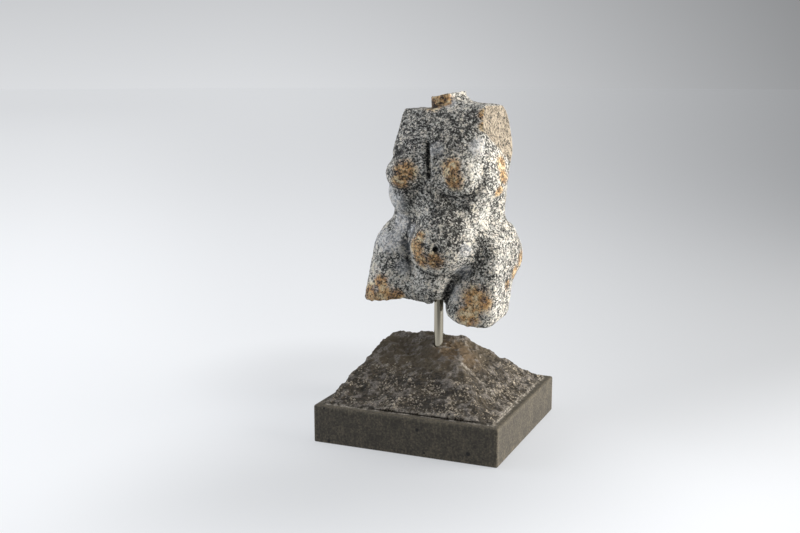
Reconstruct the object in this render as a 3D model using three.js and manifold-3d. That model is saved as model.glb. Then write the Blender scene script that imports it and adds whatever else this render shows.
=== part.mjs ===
// A torso carved from one block of granite, held by a steel rod over a block of dark basalt.
// Units are millimetres and +Z is up. The origin is the centre of the block's underside.
// The figure faces -Y, so its left side is at +X. Neck, arms and thighs end in cuts and breaks.
import * as THREE from "three";
import { mergeVertices } from "three/addons/utils/BufferGeometryUtils.js";
import Module from "manifold-3d";

const wasm = await Module();
wasm.setup();

// Driving dimensions of the base, the rod and the fit between the pieces
const BASE_SIDE = 200;
const SLAB_HEIGHT = 40;
const MARGIN = 8;
const ROD_DIAMETER = 10;
const ROD_FOOT = 30;
const ROD_TOP = 182;
const ROD_SIDES = 32;
const GAP = 0.3;

// Size of the facets that the carved stones are made of
const TORSO_CELL = 6;
const MOUND_CELL = 8;

// The box that the torso's surface is looked for in
const TORSO_LOW = [-98, -74, 94];
const TORSO_HIGH = [106, 100, 382];

// Rounded masses of the torso: centre, half sizes, squareness (2 is an ellipsoid), blend into what is there
const CHEST = { centre: [6.5, 6.5, 284.5], half: [65, 43.5, 53.5], square: 2.3 };
const WAIST = { centre: [8.5, 8.5, 235.5], half: [60.5, 33, 50.5], square: 2.3, blend: 14 };
const HIPS = { centre: [2.5, 15, 193.5], half: [74.5, 38, 48.5], square: 2.2, blend: 10 };
const LEFT_BUTTOCK = { centre: [39.5, 42.5, 186], half: [38, 32, 38], square: 2, blend: 12 };
const RIGHT_BUTTOCK = { centre: [-36, 40, 184], half: [36, 33, 36], square: 2, blend: 12 };
const CROTCH = { centre: [-11, 0, 161], half: [36.5, 30.5, 25], square: 2, blend: 8 };
const RIGHT_RIBS = { centre: [-27.5, -11, 255], half: [23.5, 22.5, 25.5], square: 2, blend: 6 };
const LEFT_RIBS = { centre: [38, -7, 252], half: [27, 22, 20], square: 2, blend: 8 };
const RIGHT_BREAST = { centre: [-25, -21, 275.5], half: [25, 22, 22], square: 2, blend: 3 };
const LEFT_BREAST = { centre: [30.5, -19.5, 277], half: [24, 22, 24], square: 2, blend: 3 };
const BELLY = { centre: [13, -17, 202], half: [32, 27, 29], square: 2, blend: 12 };
const WAIST_HOLLOW = { centre: [90, -35, 233], half: [43.5, 62, 33], square: 2, blend: 11 };

// The shoulders are a slab with rounded edges, left thick where the arms were cut away
const SHOULDERS = { centre: [8, 13, 318], half: [74, 28, 30.5], rounding: 22, blend: 14 };

// Tapering rounded bars: upper end, lower end and the radius at each
const ABDOMEN = { upper: [6, -6, 262], lower: [12, -12, 212], radii: [24, 30], blend: 10 };
const LAP = { upper: [5, -11, 200], lower: [0, -12, 157], radii: [36, 19], blend: 4 };
const LEFT_THIGH = { upper: [43, 12, 191], lower: [41, 1, 110], radii: [33, 28], square: 4, blend: 9 };
const RIGHT_THIGH = { upper: [-41, 6, 184], lower: [-51, -5, 130], radii: [33, 30], square: 2.5, blend: 9 };

// Neck stump: an upright column with a slanting top, a flat break across its front, and a wider foot on the left
const NECK = { centre: [6, 11], half: [18, 17], square: 2.4, blend: 1.5, foot: 325 };
const NECK_TOP = { height: 357.2, rise: 0.19 };
const NECK_FACET = { at: [11.7, -6], facing: [0.81, -0.586] };
const NECK_SPREAD = { at: 10, reach: 14, blend: 9 };

// Cuts: where each crosses its reference height or place, and how it leans
const ARM_CUT_HEIGHT = 340;
const LEFT_ARM_CUT = { at: 58, flare: 0.2, turn: 0.17, behind: 30 };
const RIGHT_ARM_CUT = { at: -35.5, flare: 0.18 };
const RIGHT_SHOULDER_TOP = 341;
const LEFT_SHOULDER_TOP = { height: 347.9, at: 30, fall: 0.12 };
const SHOULDER_STEP = { at: 5, width: 3 };
const HIP_SIDE = { at: 74, behind: 5, flare: 0.25 };

// Broken ends of the thighs, each a plane that rises from its lowest line
const RIGHT_THIGH_BREAK = { height: 142, at: [-45, -20], rise: [0.14, 0.11] };
const LEFT_THIGH_BREAK = { height: 121, riseBack: 0.12 };
const LEFT_THIGH_INNER_BREAK = { height: 127, at: 16, slope: 0.5 };
const LEFT_THIGH_OUTER_BREAK = { height: 119.5, at: 66, slope: 0.9 };

// Lines cut into the front: points across and up, half width, depth, and where along it is deepest
const FRONT_LINES = {
  cleft: { path: [[-1, 318], [0, 306], [1, 290], [2, 269]], width: 2.4, depth: 6, deepest: 0.85 },
  rightRibEdge: { path: [[2, 270], [-9, 259], [-18, 249], [-30, 241]], width: 5, depth: 2, deepest: 0.5 },
  leftRibEdge: {
    path: [[4, 270], [16, 254], [28, 245], [44, 239], [56, 242]], width: 4.5, depth: 2.2, deepest: 0.4,
  },
  underRightBreast: {
    path: [[0, 275], [-8, 265], [-18, 260], [-32, 259], [-46, 263]], width: 3.2, depth: 2, deepest: 0.6,
  },
  underLeftBreast: {
    path: [[3, 275], [9, 261], [18, 254], [30, 252], [43, 255], [53, 264], [58, 280], [53, 296]],
    width: 3.2, depth: 2, deepest: 0.45,
  },
  overRightBreast: {
    path: [[-49, 281], [-43, 292], [-25, 299], [-8, 293], [-2, 281]], width: 2.5, depth: 1.6, deepest: 0.5,
  },
  overLeftBreast: { path: [[5, 283], [12, 295], [30, 302], [48, 296]], width: 2.5, depth: 1.2, deepest: 0.4 },
  underBelly: {
    path: [[-15, 186], [-9, 177], [4, 171], [18, 170], [30, 175]], width: 3.6, depth: 4, deepest: 0.5,
  },
  rightGroin: {
    path: [[-1, 243], [-10, 230], [-19, 217], [-24, 203], [-25, 190], [-23, 178], [-16, 164], [-4, 152]],
    width: 6, depth: 4, deepest: 0.55,
  },
  leftGroin: {
    path: [[50, 190], [38, 179], [29, 171], [22, 162], [17, 151], [13, 138]],
    width: 4.5, depth: 5, deepest: 0.6,
  },
};
const BACK_LINES = {
  spine: { path: [[7, 338], [7, 290], [5, 240], [3, 215]], width: 8, depth: 5, deepest: 0.6 },
  betweenButtocks: { path: [[3, 216], [1, 190], [0, 160], [0, 140]], width: 5, depth: 10, deepest: 0.5 },
};
const NAVEL = { at: [13, 202.3], width: 3, depth: 6 };

// Narrowest line that facets of the torso's size can hold
const NARROWEST_LINE = 0.8 * TORSO_CELL;

// Faces hewn on the mound: height above the block's underside at x = 0, y = 0, and its rise along x and y
const HEWN_FACES = {
  top: { height: 89.5, rise: [-0.13, 0.2] },
  front: { height: 95.4, rise: [0, 0.57] },
  right: { height: 108.3, rise: [-0.81, 0] },
  back: { height: 119.5, rise: [0, -0.83] },
  left: { height: 225, rise: [2.04, 0] },
  frontLeft: { height: 92.8, rise: [0.3, 0.45] },
};
const LEFT_LEDGE = {
  top: { height: 63.7, rise: [0.01, 0.06] },
  front: { height: 92, rise: [0.1, 0.9] },
  right: { height: 60, rise: [-0.75, 0] },
  back: { height: 119.5, rise: [0, -0.83] },
  left: { height: 157, rise: [1.12, 0] },
};
const RIGHT_TOE = {
  slope: { height: 69.6, rise: [-0.3, 0] },
  front: { height: 90, rise: [0, 0.55] },
  back: { height: 112, rise: [0, -0.8] },
  left: { height: 225, rise: [2.04, 0] },
};
const HEWN_BLEND = 3;
const LEAST_MOUND = 41.2;

// Waves that leave the mound uneven: length, direction in degrees, shift and height
const MOUND_WAVES = [
  { length: 58, direction: 20, shift: 0.4, height: 0.8 },
  { length: 41, direction: 95, shift: 2.2, height: 0.7 },
  { length: 33, direction: 150, shift: 1.2, height: 0.6 },
  { length: 24, direction: 60, shift: 3.1, height: 0.5 },
];
const CHIP_DEPTH = 1.2;

// Smallest of two distances with the corner between them filled over the width blend
function join(a, b, blend) {
  const h = Math.min(Math.max(0.5 + (0.5 * (b - a)) / blend, 0), 1);
  return b * (1 - h) + a * h - blend * h * (1 - h);
}

// Largest of two distances with the edge between them eased over the width blend
function cut(a, b, blend) {
  return -join(-a, -b, blend);
}

// Length of a vector measured with rounded-square circles
function squareLength(values, square) {
  let sum = 0;
  for (const value of values) sum += Math.abs(value) ** square;
  return sum ** (1 / square);
}

function roundedMass(p, { centre, half, square }) {
  const offset = p.map((value, i) => value - centre[i]);
  const share = squareLength(offset.map((value, i) => value / half[i]), square);
  return Math.hypot(...offset) * (1 - 1 / Math.max(share, 1e-6));
}

function roundedSlab(p, { centre, half, rounding }) {
  const over = p.map((value, i) => Math.abs(value - centre[i]) - half[i] + rounding);
  const outside = Math.hypot(...over.map((value) => Math.max(value, 0)));
  return outside + Math.min(Math.max(...over), 0) - rounding;
}

// A bar that tapers between its two ends. An open one runs on below its lower end.
function taperedBar(p, { upper, lower, radii, square = 2 }, open) {
  const axis = lower.map((value, i) => value - upper[i]);
  const offset = p.map((value, i) => value - upper[i]);
  const squared = axis.reduce((sum, value) => sum + value * value, 0);
  const along = offset.reduce((sum, value, i) => sum + value * axis[i], 0) / squared;
  const t = open ? Math.max(along, 0) : Math.min(Math.max(along, 0), 1);
  const side = offset.map((value, i) => value - axis[i] * t);
  return squareLength(side, square) - (radii[0] + (radii[1] - radii[0]) * t);
}

// Distance from a point to a path in the upright plane, and how far along the path its nearest point is
function nearestOnPath(x, z, path) {
  let best = Infinity;
  let share = 0;
  for (let i = 0; i + 1 < path.length; i++) {
    const [x0, z0] = path[i];
    const [dx, dz] = [path[i + 1][0] - x0, path[i + 1][1] - z0];
    const along = ((x - x0) * dx + (z - z0) * dz) / (dx * dx + dz * dz);
    const t = Math.min(Math.max(along, 0), 1);
    const distance = Math.hypot(x - x0 - t * dx, z - z0 - t * dz);
    if (distance < best) {
      best = distance;
      share = (i + t) / (path.length - 1);
    }
  }
  return [best, share];
}

// Depth that the cut lines of one side take off the stone. side is -1 for the front, 1 for the back.
function lineDepth([x, y, z], lines, side) {
  const facing = Math.min(Math.max(0.5 + (side * y) / 20, 0), 1);
  let total = 0;
  for (const { path, width, depth, deepest } of Object.values(lines)) {
    const [distance, share] = nearestOnPath(x, z, path);
    const ramp = share < deepest ? share / deepest : (1 - share) / (1 - deepest);
    const fade = THREE.MathUtils.smoothstep(1.4 * ramp, 0, 1);
    const reach = Math.max(width, NARROWEST_LINE);
    total += depth * fade * Math.exp(-((distance / reach) ** 2)) * facing;
  }
  return total;
}

function upperBody(p) {
  const [x, y, z] = p;
  const rise = z - ARM_CUT_HEIGHT;
  const turned = LEFT_ARM_CUT.turn * (y - LEFT_ARM_CUT.behind);
  let body = join(roundedMass(p, CHEST), roundedSlab(p, SHOULDERS), SHOULDERS.blend);
  body = join(body, roundedMass(p, WAIST), WAIST.blend);
  body = cut(body, x - LEFT_ARM_CUT.at + LEFT_ARM_CUT.flare * rise - turned, 1.2);
  body = cut(body, RIGHT_ARM_CUT.at - x + RIGHT_ARM_CUT.flare * rise, 1.5);
  return join(body, taperedBar(p, ABDOMEN), ABDOMEN.blend);
}

function leftThigh(p) {
  const [x, y, z] = p;
  const { at: inner, slope: innerSlope } = LEFT_THIGH_INNER_BREAK;
  const { at: outer, slope: outerSlope } = LEFT_THIGH_OUTER_BREAK;
  const end = LEFT_THIGH_BREAK.height - z + LEFT_THIGH_BREAK.riseBack * y;
  const innerEnd = (LEFT_THIGH_INNER_BREAK.height - z - innerSlope * (x - inner)) / Math.hypot(1, innerSlope);
  const outerEnd = (LEFT_THIGH_OUTER_BREAK.height - z + outerSlope * (x - outer)) / Math.hypot(1, outerSlope);
  let thigh = cut(taperedBar(p, LEFT_THIGH, true), end, 6);
  thigh = cut(thigh, innerEnd, 6);
  return cut(thigh, outerEnd, 6);
}

function rightThigh(p) {
  const [x, y, z] = p;
  const { height, at, rise } = RIGHT_THIGH_BREAK;
  const end = height - z + rise[0] * (x - at[0]) + rise[1] * (y - at[1]);
  return cut(taperedBar(p, RIGHT_THIGH, true), end, 5);
}

function lowerBody(p) {
  const [x, y] = p;
  let body = roundedMass(p, HIPS);
  for (const buttock of [LEFT_BUTTOCK, RIGHT_BUTTOCK]) body = join(body, roundedMass(p, buttock), buttock.blend);
  body = join(body, leftThigh(p), LEFT_THIGH.blend);
  body = join(body, rightThigh(p), RIGHT_THIGH.blend);
  const side = x - HIP_SIDE.at - HIP_SIDE.flare * Math.max(y - HIP_SIDE.behind, 0);
  return cut(body, side, 6);
}

function shoulderTops([x, , z]) {
  const share = 1 / (1 + Math.exp(-(x - SHOULDER_STEP.at) / SHOULDER_STEP.width));
  const left = LEFT_SHOULDER_TOP.height - LEFT_SHOULDER_TOP.fall * (x - LEFT_SHOULDER_TOP.at);
  return z - (RIGHT_SHOULDER_TOP * (1 - share) + left * share);
}

function neck([x, y, z]) {
  const { centre, half, square, foot } = NECK;
  const share = squareLength([(x - centre[0]) / half[0], (y - centre[1]) / half[1]], square);
  const facet = (x - NECK_FACET.at[0]) * NECK_FACET.facing[0] + (y - NECK_FACET.at[1]) * NECK_FACET.facing[1];
  return Math.max(cut((share - 1) * Math.min(...half), facet, 0.8), foot - z);
}

// Distance of a point to the torso's surface, below zero inside the stone
function torsoDistance(p) {
  const [x, y, z] = p;
  let body = join(upperBody(p), lowerBody(p), HIPS.blend);
  body = join(body, roundedMass(p, CROTCH), CROTCH.blend);
  body = join(body, taperedBar(p, LAP), LAP.blend);
  for (const mass of [RIGHT_RIBS, LEFT_RIBS, RIGHT_BREAST, LEFT_BREAST, BELLY]) {
    body = join(body, roundedMass(p, mass), mass.blend);
  }
  body = cut(body, -roundedMass(p, WAIST_HOLLOW), WAIST_HOLLOW.blend);
  body = cut(body, shoulderTops(p), 1.5);
  const spread = THREE.MathUtils.smoothstep((x - NECK_SPREAD.at) / NECK_SPREAD.reach, 0, 1);
  body = join(body, neck(p), NECK.blend + NECK_SPREAD.blend * spread);
  body = cut(body, z - NECK_TOP.height - NECK_TOP.rise * (x - NECK.centre[0]), 1);
  body += lineDepth(p, FRONT_LINES, -1) + lineDepth(p, BACK_LINES, 1);
  const navel = Math.hypot(x - NAVEL.at[0], z - NAVEL.at[1]) / NAVEL.width;
  return body + (y < 0 ? NAVEL.depth * Math.exp(-navel * navel) : 0);
}

// Values of a distance function at the corners of a grid of cubes
function sampleGrid(distance, low, high, cell) {
  const count = low.map((value, i) => Math.round((high[i] - value) / cell) + 1);
  const values = new Float64Array(count[0] * count[1] * count[2]);
  const at = (i, j, k) => (i * count[1] + j) * count[2] + k;
  for (let i = 0; i < count[0]; i++) {
    for (let j = 0; j < count[1]; j++) {
      for (let k = 0; k < count[2]; k++) {
        values[at(i, j, k)] = distance([low[0] + i * cell, low[1] + j * cell, low[2] + k * cell]);
      }
    }
  }
  return { count, values, at };
}

// The point of one cube that stands for the surface in it: the middle of the cube's edge crossings
function cubePoint({ values, at }, [i, j, k]) {
  const sum = [0, 0, 0];
  let crossings = 0;
  for (let axis = 0; axis < 3; axis++) {
    for (let corner = 0; corner < 4; corner++) {
      const start = [0, 0, 0];
      start[(axis + 1) % 3] = corner & 1;
      start[(axis + 2) % 3] = corner >> 1;
      const end = [...start];
      end[axis] = 1;
      const a = values[at(i + start[0], j + start[1], k + start[2])];
      const b = values[at(i + end[0], j + end[1], k + end[2])];
      if (a < 0 === b < 0) continue;
      start[axis] = a / (a - b);
      start.forEach((value, n) => (sum[n] += value));
      crossings++;
    }
  }
  return crossings ? sum.map((value) => value / crossings) : null;
}

// Closed mesh of the surface where a distance function is zero, one four-sided facet for each crossed grid edge
function surfaceMesh(distance, low, high, cell) {
  const grid = sampleGrid(distance, low, high, cell);
  const { count, values, at } = grid;
  const points = [];
  const index = new Map();
  for (let i = 0; i + 1 < count[0]; i++) {
    for (let j = 0; j + 1 < count[1]; j++) {
      for (let k = 0; k + 1 < count[2]; k++) {
        const point = cubePoint(grid, [i, j, k]);
        if (!point) continue;
        index.set(at(i, j, k), points.length / 3);
        points.push(...[i, j, k].map((value, n) => low[n] + (value + point[n]) * cell));
      }
    }
  }
  const triangles = [];
  for (let i = 1; i + 1 < count[0]; i++) {
    for (let j = 1; j + 1 < count[1]; j++) {
      for (let k = 1; k + 1 < count[2]; k++) {
        for (let axis = 0; axis < 3; axis++) {
          const next = [i, j, k];
          next[axis]++;
          const inside = values[at(i, j, k)] < 0;
          if (inside === values[at(...next)] < 0) continue;
          const corner = (a, b) => {
            const cube = [i, j, k];
            cube[(axis + 1) % 3] -= a;
            cube[(axis + 2) % 3] -= b;
            return index.get(at(...cube));
          };
          const ring = [corner(1, 1), corner(0, 1), corner(0, 0), corner(1, 0)];
          if (!inside) ring.reverse();
          triangles.push(ring[0], ring[1], ring[2], ring[0], ring[2], ring[3]);
        }
      }
    }
  }
  const geometry = new THREE.BufferGeometry();
  geometry.setAttribute("position", new THREE.Float32BufferAttribute(points, 3));
  return geometry.setIndex(triangles);
}

// Height of the lowest of some hewn faces over a point, with the edges between them eased
function lowestFace(x, y, faces) {
  const heights = Object.values(faces).map(({ height, rise }) => height + rise[0] * x + rise[1] * y);
  return heights.reduce((low, height) => join(low, height, HEWN_BLEND));
}

// A value between -1 and 1 that jumps from point to point, always the same for one point
function chip(x, y) {
  const mixed = Math.sin(x * 12.9898 + y * 78.233) * 43758.5453;
  return 2 * (mixed - Math.floor(mixed)) - 1;
}

// Height of the hewn mound over a point of the block's top
function moundHeight(x, y) {
  let height = cut(lowestFace(x, y, HEWN_FACES), lowestFace(x, y, LEFT_LEDGE), HEWN_BLEND);
  height = cut(height, lowestFace(x, y, RIGHT_TOE), HEWN_BLEND);
  for (const { length, direction, shift, height: swing } of MOUND_WAVES) {
    const turn = THREE.MathUtils.degToRad(direction);
    const along = x * Math.cos(turn) + y * Math.sin(turn);
    height += swing * Math.sin((2 * Math.PI * along) / length + shift);
  }
  const nearRod = THREE.MathUtils.smoothstep(Math.hypot(x, y), ROD_DIAMETER, 3 * ROD_DIAMETER);
  return Math.max(height + CHIP_DEPTH * chip(x, y) * nearRod, LEAST_MOUND);
}

// The mound as a closed body: a grid of hewn heights over a flat floor inside the slab
function moundMesh() {
  const reach = BASE_SIDE / 2 - MARGIN;
  const steps = Math.round((2 * reach) / MOUND_CELL);
  const floor = SLAB_HEIGHT / 2;
  const geometry = new THREE.BoxGeometry(2 * reach, 2 * reach, 1, steps, steps, 1);
  geometry.deleteAttribute("normal");
  geometry.deleteAttribute("uv");
  const merged = mergeVertices(geometry);
  const position = merged.getAttribute("position");
  for (let i = 0; i < position.count; i++) {
    const upper = position.getZ(i) > 0;
    position.setZ(i, upper ? moundHeight(position.getX(i), position.getY(i)) : floor);
  }
  return merged;
}

function solidOf(geometry) {
  const bare = geometry.clone();
  bare.deleteAttribute("normal");
  bare.deleteAttribute("uv");
  const merged = mergeVertices(bare, 1e-4);
  const vertProperties = new Float32Array(merged.getAttribute("position").array);
  return new wasm.Manifold(new wasm.Mesh({ numProp: 3, vertProperties, triVerts: new Uint32Array(merged.index.array) }));
}

function geometryOf(solid) {
  const mesh = solid.getMesh();
  const geometry = new THREE.BufferGeometry();
  geometry.setAttribute("position", new THREE.BufferAttribute(new Float32Array(mesh.vertProperties), 3));
  geometry.setIndex(new THREE.BufferAttribute(new Uint32Array(mesh.triVerts), 1));
  geometry.computeVertexNormals();
  return geometry;
}

// An upright cylinder on the origin's axis
function uprightCylinder(radius, bottom, top) {
  const geometry = new THREE.CylinderGeometry(radius, radius, top - bottom, ROD_SIDES);
  return geometry.rotateX(Math.PI / 2).translate(0, 0, (bottom + top) / 2);
}

// The hole drilled for the rod, wider and longer than the rod by the gap
function rodHole() {
  return solidOf(uprightCylinder(ROD_DIAMETER / 2 + GAP, ROD_FOOT - GAP, ROD_TOP + GAP));
}

function makeTorso() {
  const material = new THREE.MeshStandardMaterial({ color: 0x8f8b84, roughness: 0.8, metalness: 0 });
  const stone = solidOf(surfaceMesh(torsoDistance, TORSO_LOW, TORSO_HIGH, TORSO_CELL));
  const mesh = new THREE.Mesh(geometryOf(stone.subtract(rodHole())), material);
  mesh.name = "torso";
  return mesh;
}

function makeRod() {
  const material = new THREE.MeshStandardMaterial({ color: 0xb4b1a9, roughness: 0.35, metalness: 1 });
  const mesh = new THREE.Mesh(uprightCylinder(ROD_DIAMETER / 2, ROD_FOOT, ROD_TOP), material);
  mesh.name = "rod";
  return mesh;
}

function makeBase() {
  const material = new THREE.MeshStandardMaterial({ color: 0x48433c, roughness: 0.9, metalness: 0 });
  const slab = new THREE.BoxGeometry(BASE_SIDE, BASE_SIDE, SLAB_HEIGHT).translate(0, 0, SLAB_HEIGHT / 2);
  const block = solidOf(slab).add(solidOf(moundMesh())).subtract(rodHole());
  const mesh = new THREE.Mesh(geometryOf(block), material);
  mesh.name = "base";
  return mesh;
}

const group = new THREE.Group();
group.add(makeTorso(), makeRod(), makeBase());

export default group;
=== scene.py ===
import math

import bmesh
import bpy
import numpy as np
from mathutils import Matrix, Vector


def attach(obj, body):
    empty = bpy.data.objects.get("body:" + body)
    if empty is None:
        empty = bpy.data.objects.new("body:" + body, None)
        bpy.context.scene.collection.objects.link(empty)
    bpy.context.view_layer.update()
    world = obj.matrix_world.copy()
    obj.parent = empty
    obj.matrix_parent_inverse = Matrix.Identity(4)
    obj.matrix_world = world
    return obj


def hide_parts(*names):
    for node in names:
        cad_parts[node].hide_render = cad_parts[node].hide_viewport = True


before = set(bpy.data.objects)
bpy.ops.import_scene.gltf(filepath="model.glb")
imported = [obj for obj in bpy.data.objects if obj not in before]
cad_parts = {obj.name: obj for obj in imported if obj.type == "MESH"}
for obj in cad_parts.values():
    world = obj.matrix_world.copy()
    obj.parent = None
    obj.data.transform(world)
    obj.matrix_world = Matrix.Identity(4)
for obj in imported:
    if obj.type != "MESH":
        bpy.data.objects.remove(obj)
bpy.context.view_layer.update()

# Lengths are in millimetres up to the making of each mesh. -Y is the figure's front and +X its left.
MM = 0.001

# Grid that the surfaces are found on, and the box of it that holds the torso
CELL = 1.25
TORSO_LOW = (-96, -72, 96)
TORSO_HIGH = (102, 96, 378)

# Block, rod and hole
BASE_SIDE = 200
MOUND_LIMIT = 100
SLAB_HEIGHT = 40
ARRIS = 0.7
MARGIN = 8
ROD_DIAMETER = 10
ROD_FOOT = 30
ROD_TOP = 182
ROD_CHAMFER = 0.4
ROD_SIDES = 64
ROD_RINGS = 12
GAP = 0.3

# Rounded masses of the torso: centre, half sizes, squareness (2 is an ellipsoid), blend into what is there
CHEST = dict(centre=(6.5, 6.5, 284.5), half=(65, 43.5, 53.5), square=2.3)
WAIST = dict(centre=(8.5, 8.5, 235.5), half=(60.5, 33, 50.5), square=2.3, blend=14)
HIPS = dict(centre=(2.5, 15, 193.5), half=(74.5, 38, 48.5), square=2.2, blend=10)
LEFT_BUTTOCK = dict(centre=(39.5, 42.5, 186), half=(38, 32, 38), square=2, blend=12)
RIGHT_BUTTOCK = dict(centre=(-36, 40, 184), half=(36, 33, 36), square=2, blend=12)
CROTCH = dict(centre=(-11, 0, 161), half=(36.5, 30.5, 25), square=2, blend=8)
RIGHT_RIBS = dict(centre=(-27.5, -11, 255), half=(23.5, 22.5, 25.5), square=2, blend=6)
LEFT_RIBS = dict(centre=(38, -7, 252), half=(27, 22, 20), square=2, blend=8)
RIGHT_BREAST = dict(centre=(-25, -21, 275.5), half=(25, 22, 22), square=2, blend=3)
LEFT_BREAST = dict(centre=(30.5, -19.5, 277), half=(24, 22, 24), square=2, blend=3)
BELLY = dict(centre=(13, -17, 202), half=(32, 27, 29), square=2, blend=12)
WAIST_HOLLOW = dict(centre=(90, -35, 233), half=(43.5, 62, 33), square=2, blend=11)
SHOULDERS = dict(centre=(8, 13, 318), half=(74, 28, 30.5), rounding=22, blend=14)
ABDOMEN = dict(upper=(6, -6, 262), lower=(12, -12, 212), radii=(24, 30), square=2, blend=10)
LAP = dict(upper=(5, -11, 200), lower=(0, -12, 157), radii=(36, 19), square=2, blend=4)
LEFT_THIGH = dict(upper=(43, 12, 191), lower=(41, 1, 110), radii=(33, 28), square=4, blend=9)
RIGHT_THIGH = dict(upper=(-41, 6, 184), lower=(-51, -5, 130), radii=(33, 30), square=2.5, blend=9)

# Neck stump, with the straight break across its front right
NECK = dict(centre=(6, 11), half=(18, 17), square=2.4, blend=1.5, foot=325)
NECK_TOP = dict(height=357.2, rise=0.19, edge=1)
NECK_FACET = dict(at=(11.7, -6), facing=(0.81, -0.586), edge=0.8)
NECK_SPREAD = dict(at=10, reach=14, blend=9)

# Cuts where the arms ended, and the shoulder tops between them and the neck. The left cut's edge is softer
# low down in front.
ARM_CUT_HEIGHT = 340
LEFT_ARM_CUT = dict(at=58, flare=0.2, turn=0.17, behind=30, edge=1.2)
LEFT_ARM_SOFT_EDGE = dict(edge=11, below=320, before=6, over=16)
RIGHT_ARM_CUT = dict(at=-35.5, flare=0.18, edge=1.5)
SHOULDER_EDGE = 1.5
RIGHT_SHOULDER_TOP = 341
LEFT_SHOULDER_TOP = dict(height=347.9, at=30, fall=0.12)
SHOULDER_STEP = dict(at=5, width=3)
HIP_SIDE = dict(at=74, behind=5, flare=0.25, edge=6)

# Breaks that end the thighs
RIGHT_THIGH_BREAK = dict(height=142, at=(-45, -20), rise=(0.14, 0.11), edge=5)
LEFT_THIGH_BREAK = dict(height=121, rise_back=0.12, edge=6)
LEFT_THIGH_INNER_BREAK = dict(height=127, at=16, slope=0.5)
LEFT_THIGH_OUTER_BREAK = dict(height=119.5, at=66, slope=0.9)

# Grooves in the front and the back: path across and up, width, depth, and where along the path it is deepest.
# They fade out towards the other side over the given distance, and deepen from their ends at the given rate.
LINE_FADE = 20
LINE_RISE = 1.4
FRONT_LINES = dict(
    cleft=dict(path=((-1, 318), (0, 306), (1, 290), (2, 269)), width=2.2, depth=5, deepest=0.85),
    right_rib_edge=dict(path=((2, 270), (-9, 259), (-18, 249), (-30, 241)), width=5, depth=2, deepest=0.5),
    left_rib_edge=dict(path=((4, 270), (16, 254), (28, 245), (44, 239), (56, 242)),
                       width=4.5, depth=2.2, deepest=0.4),
    under_right_breast=dict(path=((0, 275), (-8, 265), (-18, 260), (-32, 259), (-46, 263)),
                            width=3, depth=2.6, deepest=0.6),
    under_left_breast=dict(path=((3, 275), (9, 261), (18, 254), (30, 252), (43, 255), (53, 264), (58, 280),
                                 (53, 296)), width=3, depth=2.8, deepest=0.45),
    over_right_breast=dict(path=((-49, 281), (-43, 292), (-25, 299), (-8, 293), (-2, 281)),
                           width=2.5, depth=1.6, deepest=0.5),
    over_left_breast=dict(path=((5, 283), (12, 295), (30, 302), (48, 296)),
                          width=2.6, depth=1.8, deepest=0.4),
    under_belly=dict(path=((-15, 186), (-9, 177), (4, 171), (18, 170), (30, 175)),
                     width=3.6, depth=4, deepest=0.5),
    right_groin=dict(path=((-1, 243), (-10, 230), (-19, 217), (-24, 203), (-25, 190), (-23, 178), (-16, 164),
                           (-4, 152)), width=6, depth=4, deepest=0.55),
    left_groin=dict(path=((50, 190), (38, 179), (29, 171), (22, 162), (17, 151), (13, 138)),
                    width=4.5, depth=5, deepest=0.6),
)
BACK_LINES = dict(
    spine=dict(path=((7, 338), (7, 290), (5, 240), (3, 215)), width=8, depth=5, deepest=0.6),
    between_buttocks=dict(path=((3, 216), (1, 190), (0, 160), (0, 140)), width=5, depth=10, deepest=0.5),
)
NAVEL = dict(at=(13, 202.3), width=3, depth=6)

# The notch in the lower edge in front, through which the top of the rod shows
ROD_SLOT = dict(half_width=5.8, top=142, turn=0.33, rise=0.1, edge=1)

# Hewn faces of the block's mound: height at the middle of the block, then rise along X and Y
HEWN_FACES = dict(top=(89.5, -0.13, 0.2), front=(95.4, 0, 0.57), right=(108.3, -0.81, 0),
                  back=(119.5, 0, -0.83), left=(225, 2.04, 0), front_left=(92.8, 0.3, 0.45))
LEFT_LEDGE = dict(top=(63.7, 0.01, 0.06), front=(92, 0.1, 0.9), right=(60, -0.75, 0),
                  back=(119.5, 0, -0.83), left=(157, 1.12, 0))
RIGHT_TOE = dict(slope=(69.6, -0.3, 0), front=(90, 0, 0.55), back=(112, 0, -0.8), left=(225, 2.04, 0))
HEWN_BLEND = 3
HEWN_SLOPE = 0.75
LEAST_MOUND = 41.2
MOUND_WAVES = (
    dict(length=58, direction=20, shift=0.4, height=0.8),
    dict(length=41, direction=95, shift=2.2, height=0.7),
    dict(length=33, direction=150, shift=1.2, height=0.6),
    dict(length=24, direction=60, shift=3.1, height=0.5),
)


# Distances, below zero inside the stone

def smooth(value):
    value = np.clip(value, 0, 1)
    return value * value * (3 - 2 * value)


# Union of two bodies with a soft inner corner
def join(a, b, blend):
    share = np.clip(0.5 + 0.5 * (b - a) / blend, 0, 1)
    return b * (1 - share) + a * share - blend * share * (1 - share)


# What two bodies share, with a soft outer edge
def cut(a, b, blend):
    return -join(-a, -b, blend)


def square_length(values, square):
    return sum(np.abs(value) ** square for value in values) ** (1 / square)


def rounded_mass(p, mass):
    offset = [value - at for value, at in zip(p, mass["centre"])]
    share = square_length([value / half for value, half in zip(offset, mass["half"])], mass["square"])
    return square_length(offset, 2) * (1 - 1 / np.maximum(share, 1e-6))


def rounded_slab(p, slab):
    rounding = slab["rounding"]
    over = [np.abs(value - at) - half + rounding for value, at, half in zip(p, slab["centre"], slab["half"])]
    outside = square_length([np.maximum(value, 0) for value in over], 2)
    return outside + np.minimum(np.maximum(np.maximum(over[0], over[1]), over[2]), 0) - rounding


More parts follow.
